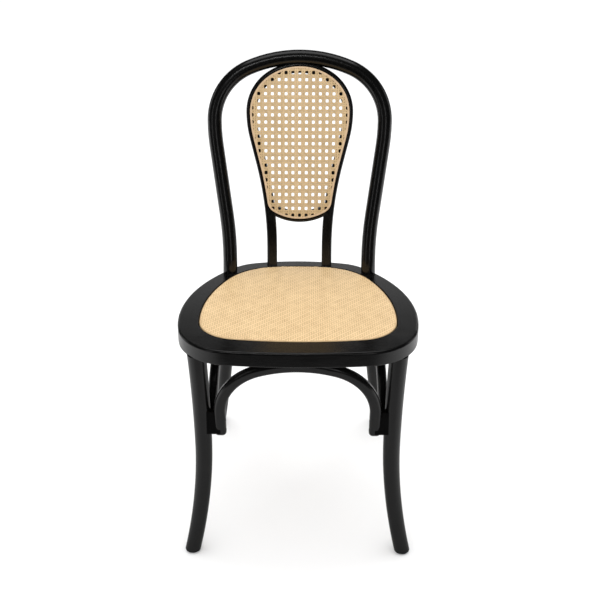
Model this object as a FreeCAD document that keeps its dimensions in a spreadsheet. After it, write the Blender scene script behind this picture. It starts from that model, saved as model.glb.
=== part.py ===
import FreeCAD, Part
import Sketcher
import math
import os

from FreeCAD import Placement, Rotation, Vector

# Bentwood bistro chair. Millimetres. Front towards -Y, +X to the right as seen from the front, +Z up.
# The origin lies on the floor at the middle of the chair's length and width.

SIZES = [
    # overall
    ("datum_y", -54.62, "seat's datum line from the origin, back and forth"),
    ("seat_height", 455.0, "floor to the top of the seat ring"),
    ("ring_thickness", 29.0, "seat ring, top to bottom"),
    # outline of the seat ring, from the datum line
    ("rim_half_width", 225.0, "ring, centre line to its widest point"),
    ("rim_widest_y", -52.0, "where the ring is widest"),
    ("rim_front_y", -204.5, "front of the ring"),
    ("rim_rear_y", 204.6, "rear of the ring"),
    ("rim_front_radius", 1250.0, "gentle front edge"),
    ("rim_front_corner", 104.0, "front corners"),
    ("rim_side_radius", 317.0, "bulging sides"),
    ("rim_rear_corner", 84.0, "rear corners"),
    ("rim_rear_radius", 394.0, "rear edge"),
    ("rim_top_round", 4.5, "round on the ring's top outer edge"),
    ("rim_bottom_round", 2.5, "round on the ring's lower outer edge"),
    # outline of the opening for the caned panel
    ("well_half_width", 185.6, "opening, centre line to its widest point"),
    ("well_widest_y", -56.0, "where the opening is widest"),
    ("well_front_y", -160.0, "front of the opening"),
    ("well_rear_y", 176.0, "rear of the opening"),
    ("well_front_radius", 802.0, "front edge of the opening"),
    ("well_front_corner", 77.0, "front corners of the opening"),
    ("well_side_radius", 352.0, "sides of the opening"),
    ("well_rear_corner", 118.0, "rear corners of the opening"),
    ("well_rear_radius", 459.0, "rear edge of the opening"),
    ("well_edge_round", 1.0, "eased edge of the opening"),
    ("ledge_width", 36.0, "rabbet ledge that carries the panel"),
    ("ledge_depth", 16.0, "top of the ring down to the ledge"),
    ("seam_y", -133.0, "joint between the front rail and the bent rail"),
    ("seam_gap", 0.3, "glue line"),
    ("tongue_length", 14.0, "tongue on each end of the front rail"),
    ("tongue_thickness", 9.0, "tongue, top to bottom"),
    ("tongue_margin", 9.0, "wood left beside the tongue"),
    ("joint_clearance", 0.15, "each side of a tongue, tenon, dowel or saddle"),
    # caned seat panel
    ("board_thickness", 14.0, "plywood panel"),
    ("cover_gap", 1.7, "dark groove between ring and cane"),
    ("cover_skirt", 1.5, "cane folded down round the panel"),
    ("cover_sheet", 2.2, "cane at the panel's edge"),
    ("cover_round", 1.8, "rounded edge of the cane cover"),
    # outer back bow, which goes on down as the rear legs
    ("bow_diameter", 28.8, "bent rod of the back and rear legs"),
    ("bow_lean", 14.8, "backward lean of the back, degrees"),
    ("bow_seat_x", 141.6, "rod's centre line at seat height"),
    ("bow_seat_y", 147.0, "rod's centre line at seat height, from the datum"),
    ("bow_widest_x", 170.2, "rod's centre line where the bow is widest"),
    ("bow_side_lean", 7.76, "outward lean of the bow's sides, degrees"),
    ("bow_side_radius", 673.0, "bend above the seat"),
    ("bow_shoulder_radius", 354.0, "bend below the widest point"),
    ("bow_corner_radius", 112.4, "bend of the upper corners"),
    ("bow_top_radius", 261.2, "bend of the top"),
    ("bow_straight", 26.0, "straight rod above the seat"),
    ("knee_radius", 100.0, "bend at seat height"),
    ("rear_leg_out", 0.066, "outward slope of the leg below the seat"),
    ("rear_leg_back", 0.205, "backward slope of the leg below the seat"),
    ("rear_foot_x", 191.0, "rear foot, centre"),
    ("rear_foot_y", 301.0, "rear foot, centre, from the datum"),
    ("foot_round", 2.5, "eased edge of each foot"),
    # inner back bow with the caned panel
    ("loop_width", 20.5, "inner bow, seen from the front"),
    ("loop_depth", 19.0, "inner bow, front to back"),
    ("loop_outer_round", 6.0, "rounded outer edges of the inner bow"),
    ("loop_inner_round", 2.0, "rounded inner edges of the inner bow"),
    ("loop_lean", 8.98, "backward lean of the inner bow, degrees"),
    ("loop_seat_x", 56.8, "inner bow's centre line at the seat"),
    ("loop_seat_y", 189.0, "inner bow's centre line at the seat, from the datum"),
    ("loop_widest_x", 96.9, "inner bow's centre line at its widest"),
    ("loop_side_lean", 13.9, "outward lean of its sides, degrees"),
    ("loop_side_radius", 724.0, "bend above the seat"),
    ("loop_shoulder_radius", 206.3, "bend below the widest point"),
    ("loop_corner_radius", 83.0, "bend of the upper corners"),
    ("loop_top_radius", 106.5, "bend of the top"),
    ("loop_straight", 38.2, "straight stile above the seat"),
    ("stile_tenon", 20.0, "inner bow's ends in the rear rail"),
    ("tenon_diameter", 12.0, "round tenon on each stile"),
    ("sill_bottom", 89.9, "lower edge of the curved bottom rail above the seat"),
    ("sill_radius", 110.0, "lower edge of the bottom rail"),
    ("sill_corner", 34.0, "corner between the bottom rail and the stile"),
    ("sill_round", 5.0, "rounded lower edges of the bottom rail"),
    ("lip_width", 7.6, "black lip outside the cane"),
    ("spline_width", 4.4, "reed round the cane"),
    ("spline_depth", 4.5, "reed in its groove"),
    ("spline_proud", 1.2, "reed above the wood"),
    ("spline_round", 1.0, "eased edges of the reed"),
    ("cane_thickness", 1.2, "woven cane of the back"),
    ("cane_pitch_x", 13.8, "cane holes, centre to centre across"),
    ("cane_pitch_z", 14.15, "cane holes, centre to centre up"),
    ("cane_hole", 6.9, "octagonal hole, across flats"),
    ("cane_row_shift", 6.65, "middle of a row of holes above the seat"),
    ("cane_margin", 1.6, "cane left outside the outermost holes"),
    # front legs
    ("leg_top_diameter", 34.6, "front leg under the seat"),
    ("leg_foot_diameter", 30.4, "front leg at the floor"),
    ("leg_waist_x", 177.5, "front leg's centre line where it is plumb"),
    ("leg_waist_y", -148.0, "front leg's centre line where it is plumb"),
    ("leg_waist_z", 236.3, "height where it is plumb"),
    ("leg_upper_radius", 2540.0, "slight bend of the leg's upper half"),
    ("leg_foot_radius", 722.0, "outward sweep of the foot"),
    ("leg_tenon_diameter", 22.0, "round tenon at the leg's top"),
    ("leg_tenon_length", 20.0, "tenon in the front rail"),
    # braces under the seat
    ("brace_width", 21.8, "brace rod, seen from its side"),
    ("brace_thickness", 18.0, "brace rod, across its plane"),
    ("brace_corner", 7.5, "rounded edges of the brace"),
    ("brace_bite", 0.8, "flat on the brace's crown under the ring"),
    ("brace_end_round", 6.5, "rounded ends of a brace"),
    ("brace_drop", 171.5, "ring's underside down to the braces' lower ends"),
    ("brace_saddle", 1.0, "depth of the saddle cut for a leg"),
    ("front_brace_y", -179.0, "front brace's crown from the datum"),
    ("front_brace_lean", 10.0, "front brace leans, degrees"),
    ("front_brace_corner", 105.0, "bend of the front brace's corners"),
    ("front_brace_top", 233.4, "bend of the front brace's crown"),
    ("side_brace_front_x", 162.4, "side brace beside the front leg"),
    ("side_brace_rear_x", 147.0, "side brace beside the rear leg"),
    ("side_brace_corner", 140.0, "bend of the side brace's corners"),
    ("side_brace_lean", 2.5, "side brace leans in, degrees"),
    ("packing_thickness", 6.2, "packing between the front brace and a leg"),
    ("packing_width", 13.0, "packing, front to back"),
    ("packing_length", 48.0, "packing, top to bottom"),
    ("packing_rise", 6.0, "lower end of the packing above the brace's end"),
    ("brace_screw_low", 14.0, "lower screws above the braces' ends"),
    ("brace_screw_high", 36.0, "upper screws above the braces' ends"),
    # fastenings
    ("screw_diameter", 4.5, "wood screw shank"),
    ("screw_head", 8.6, "wood screw head"),
    ("screw_head_height", 2.8, "wood screw head"),
    ("screw_sink", 1.2, "screw heads below the surface"),
    ("screw_clearance", 0.1, "round a screw, each side"),
    ("leg_screw_length", 45.0, "screws through a brace into a leg"),
    ("ring_screw_cover", 2.0, "wood left between the ring screws' tips and the seat panel"),
    ("panel_screw_length", 21.0, "screws up into the seat panel"),
    ("loop_screw_length", 31.0, "screws up into the outer bow"),
    ("bolt_diameter", 6.0, "bolt into the rear leg"),
    ("bolt_length", 52.0, "bolt through the rear leg into the ring"),
    ("bolt_spot", 2.0, "flat cut on the leg for the washer"),
    ("bolt_head", 12.0, "bolt head"),
    ("bolt_head_height", 4.0, "bolt head"),
    ("washer_diameter", 16.0, "washer under the bolt head"),
    ("washer_thickness", 1.5, "washer under the bolt head"),
    ("dowel_diameter", 6.0, "dowel between bottom rail and stile"),
    ("dowel_length", 20.0, "dowel between bottom rail and stile"),
    ("glide_diameter", 22.0, "foot glide"),
    ("glide_height", 2.0, "foot glide below the wood"),
    ("glide_pin_diameter", 4.0, "glide's pin"),
    ("glide_pin_length", 14.0, "glide's pin in the leg"),
]

doc = FreeCAD.newDocument("bistro_chair")
sheet = doc.addObject("Spreadsheet::Sheet", "Sizes")
for row, (alias, value, note) in enumerate(SIZES, start=1):
    sheet.set(f"A{row}", note)
    sheet.set(f"B{row}", str(value))
    sheet.setAlias(f"B{row}", alias)
doc.recompute()

SUB_PARTS = []
UP = Vector(0, 0, 1)
MIDDLE = Vector(0, 0, 0)


def size(alias):
    return float(sheet.get(alias))


# Sub-parts


def keep(item, label):
    """Name a finished sub-part and move it from the seat's datum line to the origin."""
    item.Label = label
    item.setExpression("Placement.Base.y", f"Sizes.datum_y + {item.Placement.Base.y}")
    SUB_PARTS.append(item)
    return item


def shape_part(label, shape):
    """A piece bent in space, or a group of equal fasteners."""
    item = doc.addObject("Part::Feature", label)
    item.Shape = shape
    return keep(item, label)


def coped(label, blank, cutters):
    """A blank less the bores, notches and saddles that its neighbours need."""
    tools = doc.addObject("Part::Feature", label + "_cuts")
    tools.Shape = Part.makeCompound(cutters)
    item = doc.addObject("Part::Cut", label)
    item.Base = blank
    item.Tool = tools
    doc.recompute()
    return keep(item, label)


# Bodies, sketches and their bound sizes


def new_body(name, base=None, turn=None):
    """Body placed by bound coordinates; turn is an axis and an angle's expression."""
    body = doc.addObject("PartDesign::Body", name)
    if turn:
        axis, angle = turn
        body.Placement = Placement(MIDDLE, Rotation(axis, 1))
        body.setExpression("Placement.Rotation.Angle", angle)
    for letter, value in (base or {}).items():
        body.setExpression("Placement.Base." + letter, value)
    doc.recompute()
    return body


def sketch_in(body, name, role, offset="0 mm"):
    drawn = body.newObject("Sketcher::SketchObject", name)
    plane = next(item for item in body.Origin.OriginFeatures if item.Role == role)
    drawn.AttachmentSupport = [(plane, "")]
    drawn.MapMode = "FlatFace"
    drawn.setExpression("AttachmentOffset.Base.z", offset)
    return drawn


def bind(drawn, kind, items, value, formula):
    index = drawn.addConstraint(Sketcher.Constraint(kind, *items, value))
    drawn.setExpression(f"Constraints[{index}]", formula)


def circle_in(drawn, diameter, x="0", y="0"):
    """Circle whose diameter and place are bound to the sheet."""
    centre = Vector(worth(x), worth(y), 0)
    item = drawn.addGeometry(Part.Circle(centre, UP, worth(diameter) / 2))
    bind(drawn, "Diameter", (item,), worth(diameter), diameter)
    for kind, formula, value in (("DistanceX", x, centre.x), ("DistanceY", y, centre.y)):
        if value:
            bind(drawn, kind, (-1, 1, item, 3), value, formula)


def worth(formula):
    """Value of a formula of sheet sizes, as the sheet works it out."""
    return float(sheet.evalExpression(formula.replace("Sizes.", "")))


def ends_that_meet(drawn, first, second):
    for a in (1, 2):
        for b in (1, 2):
            if drawn.getPoint(first, a).distanceToPoint(drawn.getPoint(second, b)) < 1e-4:
                return a, b
    raise ValueError("curves do not meet")


def chain_in(drawn, steps, closed=False):
    """Lines and arcs that run smoothly into each other, their radii bound to the sheet."""
    items = [drawn.addGeometry(curve(step)) for step in steps]
    pairs = list(zip(items, items[1:]))
    if closed:
        pairs.append((items[-1], items[0]))
    for first, second in pairs:
        a, b = ends_that_meet(drawn, first, second)
        drawn.addConstraint(Sketcher.Constraint("Tangent", first, a, second, b))
    for item, step in zip(items, steps):
        if step[0] == "arc":
            bind(drawn, "Radius", (item,), step[2], step[5])


def pad(body, drawn, length):
    feature = body.newObject("PartDesign::Pad", drawn.Name + "_pad")
    feature.Profile = drawn
    feature.setExpression("Length", length)
    doc.recompute()
    return feature


def pocket(body, drawn, length, upwards=False):
    feature = body.newObject("PartDesign::Pocket", drawn.Name + "_pocket")
    feature.Profile = drawn
    feature.Reversed = upwards
    feature.setExpression("Length", length)
    doc.recompute()
    return feature


def pipe(body, section, line, last_section=None):
    feature = body.newObject("PartDesign::AdditivePipe", line.Name + "_pipe")
    feature.Profile = section
    feature.Spine = (line, [f"Edge{n + 1}" for n in range(len(line.Shape.Edges))])
    if last_section:
        feature.Sections = [(last_section, [""])]
        feature.Transformation = "Multisection"
    doc.recompute()
    return feature


def rounded(body, feature, edges, radius):
    """Fillet on the edges of a feature that a test picks out."""
    names = [f"Edge{n + 1}" for n, edge in enumerate(feature.Shape.Edges) if edges(edge)]
    fillet = body.newObject("PartDesign::Fillet", feature.Name + "_round")
    fillet.Base = (feature, names)
    fillet.setExpression("Radius", radius)
    doc.recompute()
    return fillet


def revolved(body, drawn):
    feature = body.newObject("PartDesign::Revolution", drawn.Name + "_turned")
    feature.Profile = drawn
    feature.ReferenceAxis = (drawn, ["V_Axis"])
    feature.Angle = 360
    doc.recompute()
    return feature


def flat_at(height):
    """Test for edges that lie level at a height."""
    def test(edge):
        box = edge.BoundBox
        return abs(box.ZMin - height) < 1e-3 and abs(box.ZMax - height) < 1e-3
    return test


# Outlines: an arc is ("arc", centre, radius, from, to, formula), a line ("line", start, end)


def curve(step):
    if step[0] == "line":
        return Part.LineSegment(step[1], step[2])
    kind, centre, radius, start, stop, formula = step
    return Part.ArcOfCircle(Part.Circle(centre, UP, radius), math.radians(start), math.radians(stop))


def across(step):
    """The same curve on the other side of the centre line."""
    if step[0] == "line":
        return ("line", Vector(-step[2].x, step[2].y, 0), Vector(-step[1].x, step[1].y, 0))
    kind, centre, radius, start, stop, formula = step
    return (kind, Vector(-centre.x, centre.y, 0), radius, 180 - stop, 180 - start, formula)


def wire_of(steps):
    return Part.Wire(Part.__sortEdges__([curve(step).toShape() for step in steps]))


def aimed(vector):
    return math.degrees(math.atan2(vector.y, vector.x))


def at_angle(angle, length):
    return Vector(math.cos(math.radians(angle)), math.sin(math.radians(angle)), 0) * length


def touching_centre(first, first_reach, second, second_reach, towards):
    """Point at given distances from two centres, on the side that towards points to."""
    gap = second - first
    along = (first_reach**2 - second_reach**2 + gap.Length**2) / (2 * gap.Length)
    rise = math.sqrt(first_reach**2 - along**2)
    unit = Vector(gap).normalize()
    normal = Vector(-unit.y, unit.x, 0)
    if normal.dot(towards) < 0:
        normal = normal * -1
    return first + unit * along + normal * rise


def seat_outline(name, inset="0"):
    """Eight arcs round the ring or its opening, moved inwards by inset."""
    inward = worth(inset)
    front_r = size(name + "_front_radius") - inward
    corner_r = size(name + "_front_corner") - inward
    side_r = size(name + "_side_radius") - inward
    rear_corner_r = size(name + "_rear_corner") - inward
    rear_r = size(name + "_rear_radius") - inward
    front = Vector(0, size(name + "_front_y") + inward + front_r, 0)
    side = Vector(size(name + "_half_width") - inward - side_r, size(name + "_widest_y"), 0)
    rear = Vector(0, size(name + "_rear_y") - inward - rear_r, 0)
    corner = touching_centre(front, front_r - corner_r, side, side_r - corner_r, Vector(1, -1, 0))
    rear_corner = touching_centre(rear, rear_r - rear_corner_r, side, side_r - rear_corner_r,
                                  Vector(1, 1, 0))
    first = aimed(corner - front)
    second = aimed(corner - side)
    third = aimed(rear_corner - side)
    fourth = aimed(rear_corner - rear)

    def bound(part):
        return f"Sizes.{name}_{part} - ({inset})"

    side_steps = [
        ("arc", corner, corner_r, first, second, bound("front_corner")),
        ("arc", side, side_r, second, third, bound("side_radius")),
        ("arc", rear_corner, rear_corner_r, third, fourth, bound("rear_corner")),
    ]
    front_step = ("arc", front, front_r, -180 - first, first, bound("front_radius"))
    rear_step = ("arc", rear, rear_r, fourth, 180 - fourth, bound("rear_radius"))
    return [front_step] + side_steps + [rear_step] + [across(step) for step in reversed(side_steps)]


def seat_slab(name, inset, bottom, top):
    face = Part.Face(wire_of(seat_outline(name, inset)))
    solid = face.extrude(Vector(0, 0, top - bottom))
    solid.translate(Vector(0, 0, bottom))
    return solid


def bow_steps(name, outward="0", low=0.0):
    """Bent line of a back bow in its own plane: foot to foot, moved outwards, from low upwards."""
    out = worth(outward)
    lean = size(name + "_side_lean")
    side = size(name + "_side_radius")
    shoulder = size(name + "_shoulder_radius")
    corner = size(name + "_corner_radius")
    top = size(name + "_top_radius")
    seat_x = size(name + "_seat_x")
    widest = size(name + "_widest_x")
    straight = size(name + "_straight")
    slope = math.radians(lean)
    spread = widest - seat_x - (side + shoulder) * (1 - math.cos(slope))
    side_centre = Vector(seat_x + side, straight, 0)
    lower = side_centre + at_angle(180 - lean, side - out)
    upper = lower + at_angle(90 - lean, spread / math.sin(slope))
    shoulder_centre = upper - at_angle(-lean, shoulder + out)
    corner_centre = shoulder_centre + Vector(shoulder - corner, 0, 0)
    over = math.degrees(math.acos((widest - corner) / (top - corner)))
    top_centre = corner_centre - at_angle(over, top - corner)

    def bound(part, sign):
        return f"Sizes.{name}_{part}_radius {sign} ({outward})"

    half = [
        ("line", Vector(seat_x + out, low, 0), Vector(seat_x + out, straight, 0)),
        ("arc", side_centre, side - out, 180 - lean, 180, bound("side", "-")),
        ("line", lower, upper),
        ("arc", shoulder_centre, shoulder + out, -lean, 0, bound("shoulder", "+")),
        ("arc", corner_centre, corner + out, 0, over, bound("corner", "+")),
    ]
    crown = ("arc", top_centre, top + out, over, 180 - over, bound("top", "+"))
    return half + [crown] + [across(step) for step in reversed(half)]


def panel_steps(inset):
    """Closed outline of the caned panel, inset from the inner bow's outer edge."""
    inward = worth(inset)
    outward = f"Sizes.loop_width / 2 - ({inset})"
    upright = bow_steps("loop", outward)
    side = upright[1]
    sill = size("sill_radius")
    corner = size("sill_corner")
    below = Vector(0, size("sill_bottom") + sill, 0)
    reach = size("loop_side_radius") - size("loop_width") / 2 + corner
    centre = touching_centre(below, sill - corner, side[1], reach, Vector(0, -1, 0))
    down = aimed(centre - below)
    out = aimed(side[1] - centre)
    lip = ("arc", below, sill - inward, -180 - down, down, f"Sizes.sill_radius - ({inset})")
    turn = ("arc", centre, corner - inward, down, out, f"Sizes.sill_corner - ({inset})")
    side = ("arc", side[1], side[2], side[3], out + 180, side[5])
    half = [turn, side] + upright[2:5]
    return [lip] + half + [upright[5]] + [across(step) for step in reversed(half)]


def panel_slab(inset, back, front):
    """Slab of the panel's outline between two depths, in the inner bow's own leaning frame."""
    face = Part.Face(wire_of(panel_steps(inset)))
    slab = face.extrude(Vector(0, 0, back - front))
    slab.rotate(MIDDLE, Vector(1, 0, 0), 90)
    slab.translate(Vector(0, back, 0))
    return slab


# Heights that several pieces share

SEAT_UNDER = "Sizes.seat_height - Sizes.ring_thickness"
LEDGE_TOP = "Sizes.seat_height - Sizes.ledge_depth"
top_z = size("seat_height")
under_z = worth(SEAT_UNDER)
ledge_z = worth(LEDGE_TOP)
sole_z = size("glide_height")
clear = size("joint_clearance")
FAR = 1000.0


def cylinder(start, end, radius):
    return Part.makeCylinder(radius, (end - start).Length, start, end - start)


def tangent_arc(start, direction, end):
    """Arc that leaves start along direction and reaches end, and its direction there."""
    chord = end - start
    along = Vector(direction).normalize()
    side = chord - along * chord.dot(along)
    side.normalize()
    turn = math.atan2(chord.dot(side), chord.dot(along))
    radius = chord.Length / (2 * math.sin(turn))
    middle = start + along * radius * math.sin(turn) + side * radius * (1 - math.cos(turn))
    leaving = along * math.cos(2 * turn) + side * math.sin(2 * turn)
    return Part.Arc(start, middle, end).toShape(), leaving


def swept(path, section):
    return max(path.makePipeShell([section], True, False).Solids, key=lambda solid: solid.Volume)


def one_solid(shape):
    return max(shape.Solids, key=lambda solid: solid.Volume)


def leaned(shape, name):
    """Stand a back bow's drawing up and lean it back on the seat."""
    shape.rotate(MIDDLE, Vector(1, 0, 0), 90 - size(name + "_lean"))
    shape.translate(Vector(0, size(name + "_seat_y"), top_z))
    return shape


def lean_in_place(shape):
    """Set a solid from the inner bow's own frame into the seat's frame."""
    shape.rotate(MIDDLE, Vector(1, 0, 0), -size("loop_lean"))
    shape.translate(Vector(0, size("loop_seat_y"), top_z))
    return shape


# Fastenings


class Fasteners:
    """One pattern body and the places that its copies stand at."""

    def __init__(self, pattern, holes):
        self.pattern = pattern
        self.hole = holes
        self.places = []

    def add(self, start, direction):
        self.places.append(Placement(start, Rotation(UP, direction)))

    def add_pair(self, start, direction):
        self.add(start, direction)
        self.add(Vector(-start.x, start.y, start.z), Vector(-direction.x, direction.y, direction.z))

    def copies(self, solid):
        placed = []
        for place in self.places:
            copy = solid.copy()
            copy.Placement = place.multiply(solid.Placement)
            placed.append(copy)
        return placed

    def group(self, label):
        return shape_part(label, Part.makeCompound(self.copies(self.pattern)))

    def cuts(self):
        return self.copies(self.hole)


def turned_pattern(name, points):
    """Solid turned about Z from a profile of (radius, height) formulas."""
    body = new_body(name)
    drawn = sketch_in(body, name + "_profile", "XZ_Plane")
    places = [Vector(worth(x), worth(y), 0) for x, y in points]
    items = []
    for start, end in zip(places, places[1:] + places[:1]):
        items.append(drawn.addGeometry(Part.LineSegment(start, end)))
    for first, second in zip(items, items[1:] + items[:1]):
        drawn.addConstraint(Sketcher.Constraint("Coincident", first, 2, second, 1))
    for item, (x, y), place in zip(items, points, places):
        for kind, formula, value in (("DistanceX", x, place.x), ("DistanceY", y, place.y)):
            if abs(value) > 1e-9:
                bind(drawn, kind, (-1, 1, item, 1), value, formula)
            else:
                axis = -2 if kind == "DistanceX" else -1
                drawn.addConstraint(Sketcher.Constraint("PointOnObject", item, 1, axis))
    doc.recompute()
    return revolved(body, drawn).Shape.copy()


def screw_pattern(name, length):
    """Countersunk wood screw with its head's face at the origin, and the hole it needs."""
    shank = "Sizes.screw_diameter / 2"
    head = "Sizes.screw_head / 2"
    room = " + Sizes.screw_clearance"
    screw = turned_pattern(name, [
        ("0", "0"), (head, "0"), (shank, "Sizes.screw_head_height"),
        (shank, f"{length} - 0.8 * Sizes.screw_diameter"), ("0", length),
    ])
    mouth = "-4 * Sizes.screw_head"
    hole = turned_pattern(name + "_hole", [
        ("0", mouth), (head + room, mouth), (head + room, "Sizes.screw_clearance"),
        (shank + room, "Sizes.screw_head_height" + room), (shank + room, length + room),
        ("0", length + room),
    ])
    return screw, hole


# Rods bent in space, whose centre lines place the other pieces


def rear_leg_line():
    """Knee and rear leg: the points and directions of the right rear leg's centre line."""
    lean = math.radians(size("bow_lean"))
    up = Vector(0, math.sin(lean), math.cos(lean))
    down = Vector(size("rear_leg_out"), size("rear_leg_back"), -1).normalize()
    seat = Vector(size("bow_seat_x"), size("bow_seat_y"), top_z)
    knee = size("knee_radius") * math.tan(up.getAngle(down * -1) / 2)
    above = seat + up * knee
    below = seat + down * knee
    foot = Vector(size("rear_foot_x"), size("rear_foot_y"), 0)
    bend = tangent_arc(above, up * -1, below)[0]
    leg, leaving = tangent_arc(below, down, foot)
    stub = Part.LineSegment(foot, foot + leaving * size("bow_diameter")).toShape()
    return knee, [bend, leg, stub]


def bow_rod(extra):
    """Outer bow from one rear foot to the other; extra is added to its radius."""
    knee, leg = rear_leg_line()
    back = [leaned(curve(step).toShape(), "bow") for step in bow_steps("bow", low=knee)]
    other_leg = [edge.mirror(MIDDLE, Vector(1, 0, 0)) for edge in leg]
    path = Part.Wire(Part.__sortEdges__(leg + back + other_leg))
    first = path.OrderedEdges[0]
    start = path.OrderedVertexes[0].Point
    ring = Part.makeCircle(size("bow_diameter") / 2 + extra, start, first.tangentAt(first.FirstParameter))
    return swept(path, Part.Wire(ring))


def rear_leg_at(height):
    """Centre of the right rear leg at a height, and its direction downwards."""
    leg = rear_leg_line()[1][1]
    low = leg.FirstParameter
    high = leg.LastParameter
    if leg.valueAt(low).z > leg.valueAt(high).z:
        low, high = high, low
    for step in range(60):
        middle = (low + high) / 2
        if leg.valueAt(middle).z < height:
            low = middle
        else:
            high = middle
    direction = leg.tangentAt(low)
    return leg.valueAt(low), direction if direction.z < 0 else direction * -1


def front_leg_out(height):
    """Outward shift of a front leg from its plumb waist, along the seat's diagonal."""
    rise = height - size("leg_waist_z")
    radius = size("leg_upper_radius") if rise > 0 else size("leg_foot_radius")
    return radius - math.sqrt(radius**2 - rise**2)


def front_leg_at(height):
    out = front_leg_out(height) / math.sqrt(2)
    return Vector(size("leg_waist_x") + out, size("leg_waist_y") - out, height)


def front_leg_radius(height):
    """Radius of the tapered front leg at a height."""
    share = (height - sole_z) / (under_z - sole_z)
    return (size("leg_foot_diameter") * (1 - share) + size("leg_top_diameter") * share) / 2


def on_both_sides(solids):
    return solids + [solid.mirror(MIDDLE, Vector(1, 0, 0)) for solid in solids]


outer_bow = bow_rod(0)
outer_bow_room = bow_rod(clear)


# Braces under the seat


def rounded_rectangle(drawn, x, width, depth, outer_round, inner_round):
    """Rectangle about (x, 0) with one radius on its outer edges and one on its inner edges."""
    middle = worth(x)
    half_w = worth(width) / 2
    half_d = worth(depth) / 2
    corners = []
    for side, front, turn in ((1, -1, -90), (1, 1, 0), (-1, 1, 90), (-1, -1, 180)):
        formula = outer_round if side > 0 else inner_round
        radius = worth(formula)
        centre = Vector(middle + side * (half_w - radius), front * (half_d - radius), 0)
        corners.append(("arc", centre, radius, turn, turn + 90, formula))
    steps = []
    for first, second in zip(corners, corners[1:] + corners[:1]):
        start = first[1] + at_angle(first[4], first[2])
        end = second[1] + at_angle(second[3], second[2])
        steps += [first, ("line", start, end)]
    chain_in(drawn, steps, closed=True)
    right = 1
    above = 3
    left = 5
    below = 7
    bind(drawn, "DistanceX", (left, 1, right, 1), 2 * half_w, width)
    bind(drawn, "DistanceY", (below, 1, above, 1), 2 * half_d, depth)
    if middle:
        bind(drawn, "DistanceX", (-1, 1, right, 1), middle + half_w, f"{x} + {width} / 2")


def brace_rod(body, section, line):
    """Sweep a brace's section along its line and ease its sawn ends."""
    rounded_rectangle(section, "0", "Sizes.brace_width", "Sizes.brace_thickness",
                      "Sizes.brace_corner", "Sizes.brace_corner")
    doc.recompute()
    rounded_ends(body, pipe(body, section, line), section, "Sizes.brace_end_round")


def rounded_ends(body, feature, section, radius):
    """Round the edges of a rod's two sawn ends, the flat faces as large as its section."""
    area = Part.Face(section.Shape.Wires[0]).Area
    ends = [face for face in feature.Shape.Faces
            if isinstance(face.Surface, Part.Plane) and abs(face.Area - area) < 0.002 * area]
    marks = [edge.hashCode() for face in ends for edge in face.Edges]
    return rounded(body, feature, lambda edge: edge.hashCode() in marks, radius)


def front_brace_line():
    """Front brace upright in its own plane, its crown's middle at the origin."""
    lean = math.radians(size("front_brace_lean"))
    drop = (brace_crown - brace_end) / math.cos(lean)
    half_span = (front_leg_at(brace_end).x - front_leg_radius(brace_end)
                 - size("packing_thickness") - size("brace_width") / 2)
    corner = size("front_brace_corner")
    top = size("front_brace_top")
    over = math.degrees(math.acos((half_span - corner) / (top - corner)))
    corner_y = -top + (top - corner) * math.sin(math.radians(over))
    corner_centre = Vector(half_span - corner, corner_y, 0)
    half = [
        ("line", Vector(half_span, -drop, 0), Vector(half_span, corner_y, 0)),
        ("arc", corner_centre, corner, 0, over, "Sizes.front_brace_corner"),
    ]
    crown = ("arc", Vector(0, -top, 0), top, over, 180 - over, "Sizes.front_brace_top")
    return half_span, drop, half + [crown] + [across(step) for step in reversed(half)]


def front_brace_y(height):
    """Middle of the leaning front brace at a height, back and forth."""
    return size("front_brace_y") + (brace_crown - height) * math.tan(math.radians(size("front_brace_lean")))


def front_brace():
    """Arch between the front legs, its crown under the ring's front."""
    half_span, drop, steps = front_brace_line()
    body = new_body("front_brace", {"y": "Sizes.front_brace_y", "z": CROWN}, (Vector(1, 0, 0),
                    "Sizes.front_brace_lean"))
    section = sketch_in(body, "front_brace_section", "XY_Plane")
    section.AttachmentOffset = Placement(Vector(half_span, 0, 0), Rotation())
    section.setExpression("AttachmentOffset.Base.z", f"{-drop} mm")
    line = sketch_in(body, "front_brace_line", "XZ_Plane")
    chain_in(line, steps)
    brace_rod(body, section, line)
    return body


def packing(side):
    """Block that fills the room between the front brace's limb and a leg."""
    half_span = front_brace_line()[0]
    low = brace_end + size("packing_rise")
    middle = front_brace_y(low + size("packing_length") / 2)
    near = half_span
    far = front_leg_at(brace_end).x
    block = Part.makeBox(far - near, size("packing_width"), size("packing_length"),
                         Vector(near, middle - size("packing_width") / 2, low))
    return block if side > 0 else block.mirror(MIDDLE, Vector(1, 0, 0))


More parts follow.
